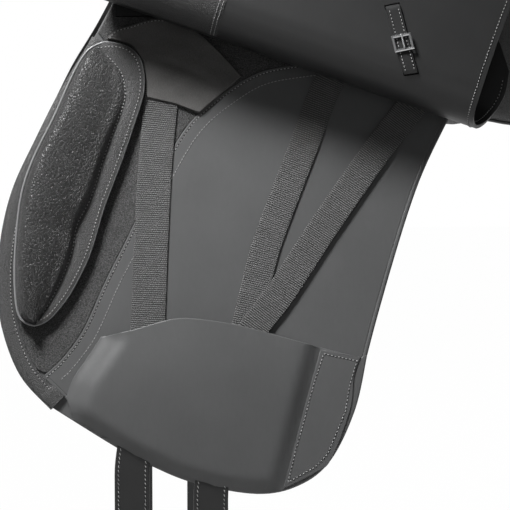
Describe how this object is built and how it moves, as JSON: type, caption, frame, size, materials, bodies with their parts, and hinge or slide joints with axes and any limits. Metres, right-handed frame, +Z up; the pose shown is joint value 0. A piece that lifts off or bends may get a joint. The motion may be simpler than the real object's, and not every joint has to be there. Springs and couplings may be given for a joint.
{
  "type": "dressage saddle",
  "caption": "English dressage saddle with long straight flaps, knee blocks, web-hung long billets under guards, recessed stirrup bars and gusseted panels; one flap folded up.",
  "frame": {"origin": "in the gullet channel on the centre plane, level with the fold of the sweat flaps' flat part, where the ridge of a saddle rack lies", "axes": "+X towards the cantle, -X towards the pommel, -Y the near (left) side, +Z up"},
  "size_m": [0.5417, 0.5453, 0.9274],
  "materials": {
    "smooth_leather": "smooth, waxed",
    "grain_leather": "printed grain",
    "panel_leather": "soft grain over wool flock",
    "billet_leather": "dense, smooth",
    "suede": "napped",
    "loop_felt": "looped pile",
    "webbing": "woven nylon",
    "foam": "seat padding",
    "wood": "varnished ply",
    "plate_steel": "forged, sprung",
    "bright_steel": "polished"
  },
  "bodies": {
    "saddle": {"seat_cover": "smooth_leather", "seat_foam": "foam", "tree": "wood", "seat_webbing": "webbing", "gullet_plate": "plate_steel", "cantle_facing": "grain_leather", "cantle_roll": "smooth_leather", "pommel_facing": "grain_leather", "near_panel": "panel_leather", "near_sweat_flap": "smooth_leather", "near_flap_facing": "smooth_leather", "near_loop_field": "loop_felt", "near_front_binding": "grain_leather", "near_point_pocket": "suede", "near_front_web": "webbing", "near_rear_web": "webbing", "near_crossing_web": "webbing", "near_billet_pocket": "smooth_leather", "near_front_billet_head": "billet_leather", "near_rear_billet_head": "billet_leather", "near_flap_root": "smooth_leather", "near_skirt": "smooth_leather", "near_stirrup_bar": "plate_steel", "near_dee_chape": "grain_leather", "off_panel": "panel_leather", "off_sweat_flap": "smooth_leather", "off_flap_facing": "smooth_leather", "off_loop_field": "loop_felt", "off_front_binding": "grain_leather", "off_point_pocket": "suede", "off_front_web": "webbing", "off_rear_web": "webbing", "off_crossing_web": "webbing", "off_billet_pocket": "smooth_leather", "off_front_billet_head": "billet_leather", "off_rear_billet_head": "billet_leather", "off_flap_root": "smooth_leather", "off_skirt": "smooth_leather", "off_stirrup_bar": "plate_steel", "off_dee_chape": "grain_leather"},
    "near_bend": {"near_flap_bend": "smooth_leather"},
    "near_leaf": {"near_flap": "smooth_leather", "near_keeper_strap": "smooth_leather", "near_keeper_buckle": "bright_steel"},
    "near_tongue": {"near_keeper_tongue": "bright_steel"},
    "near_block": {"near_knee_block": "grain_leather"},
    "near_front_billet": {"near_front_billet": "billet_leather"},
    "near_rear_billet": {"near_rear_billet": "billet_leather"},
    "near_catch": {"near_bar_catch": "plate_steel"},
    "near_dee": {"near_dee_ring": "bright_steel"},
    "off_bend": {"off_flap_bend": "smooth_leather"},
    "off_leaf": {"off_flap": "smooth_leather", "off_keeper_strap": "smooth_leather", "off_keeper_buckle": "bright_steel"},
    "off_tongue": {"off_keeper_tongue": "bright_steel"},
    "off_block": {"off_knee_block": "grain_leather"},
    "off_front_billet": {"off_front_billet": "billet_leather"},
    "off_rear_billet": {"off_rear_billet": "billet_leather"},
    "off_catch": {"off_bar_catch": "plate_steel"},
    "off_dee": {"off_dee_ring": "bright_steel"}
  },
  "joints": [
    {"name": "near_fold_root", "type": "hinge", "parent": "saddle", "child": "near_bend", "pos_m": [0, -0.16156, -0.04183], "axis": [0.9421, -0.0812, -0.3255], "range_deg": [0, 64]},
    {"name": "near_fold_leaf", "type": "hinge", "parent": "near_bend", "child": "near_leaf", "pos_m": [0.00066, -0.21542, -0.0265], "axis": [0.9421, -0.0812, -0.3255], "range_deg": [0, 113]},
    {"name": "near_tongue_hinge", "type": "hinge", "parent": "near_leaf", "child": "near_tongue", "pos_m": [0.0634, -0.21658, -0.01627], "axis": [0.9762, 0.0875, 0.1982], "range_deg": [0, 120]},
    {"name": "near_block_slide", "type": "slide", "parent": "saddle", "child": "near_block", "axis": [0, -0.2419, -0.9703], "range_m": [0, 0.02]},
    {"name": "near_front_billet_swing", "type": "hinge", "parent": "saddle", "child": "near_front_billet", "pos_m": [-0.157, -0.23236, -0.3577], "axis": [-1, 0, 0], "range_deg": [-10, 60]},
    {"name": "near_rear_billet_swing", "type": "hinge", "parent": "saddle", "child": "near_rear_billet", "pos_m": [-0.0935, -0.23552, -0.37754], "axis": [-1, 0, 0], "range_deg": [-10, 60]},
    {"name": "near_catch_hinge", "type": "hinge", "parent": "saddle", "child": "near_catch", "pos_m": [-0.086, -0.15518, 0.04988], "axis": [0, -0.9703, 0.2419], "range_deg": [0, 70]},
    {"name": "near_dee_hinge", "type": "hinge", "parent": "saddle", "child": "near_dee", "pos_m": [-0.164, -0.13132, 0.09183], "axis": [-1, 0, 0], "range_deg": [0, 110]},
    {"name": "off_fold_root", "type": "hinge", "parent": "saddle", "child": "off_bend", "pos_m": [0, 0.16156, -0.04183], "axis": [0.9421, 0.0812, -0.3255], "range_deg": [0, 64]},
    {"name": "off_fold_leaf", "type": "hinge", "parent": "off_bend", "child": "off_leaf", "pos_m": [-0.01659, 0.19834, -0.08067], "axis": [0.9421, 0.0812, -0.3255], "range_deg": [0, 113]},
    {"name": "off_tongue_hinge", "type": "hinge", "parent": "off_leaf", "child": "off_tongue", "pos_m": [0.02589, 0.20781, -0.12702], "axis": [-0.6225, -0.2514, 0.7412], "range_deg": [0, 120]},
    {"name": "off_block_slide", "type": "slide", "parent": "saddle", "child": "off_block", "axis": [0, 0.2419, -0.9703], "range_m": [0, 0.02]},
    {"name": "off_front_billet_swing", "type": "hinge", "parent": "saddle", "child": "off_front_billet", "pos_m": [-0.157, 0.23236, -0.3577], "axis": [1, 0, 0], "range_deg": [-10, 60]},
    {"name": "off_rear_billet_swing", "type": "hinge", "parent": "saddle", "child": "off_rear_billet", "pos_m": [-0.0935, 0.23552, -0.37754], "axis": [1, 0, 0], "range_deg": [-10, 60]},
    {"name": "off_catch_hinge", "type": "hinge", "parent": "saddle", "child": "off_catch", "pos_m": [-0.086, 0.15518, 0.04988], "axis": [0, -0.9703, -0.2419], "range_deg": [0, 70]},
    {"name": "off_dee_hinge", "type": "hinge", "parent": "saddle", "child": "off_dee", "pos_m": [-0.164, 0.13132, 0.09183], "axis": [1, 0, 0], "range_deg": [0, 110]}
  ],
  "couplings": [
    {"joint": "near_fold_leaf", "follows": "near_fold_root", "ratio": 1.7656},
    {"joint": "off_fold_leaf", "follows": "off_fold_root", "ratio": 1.7656}
  ]
}
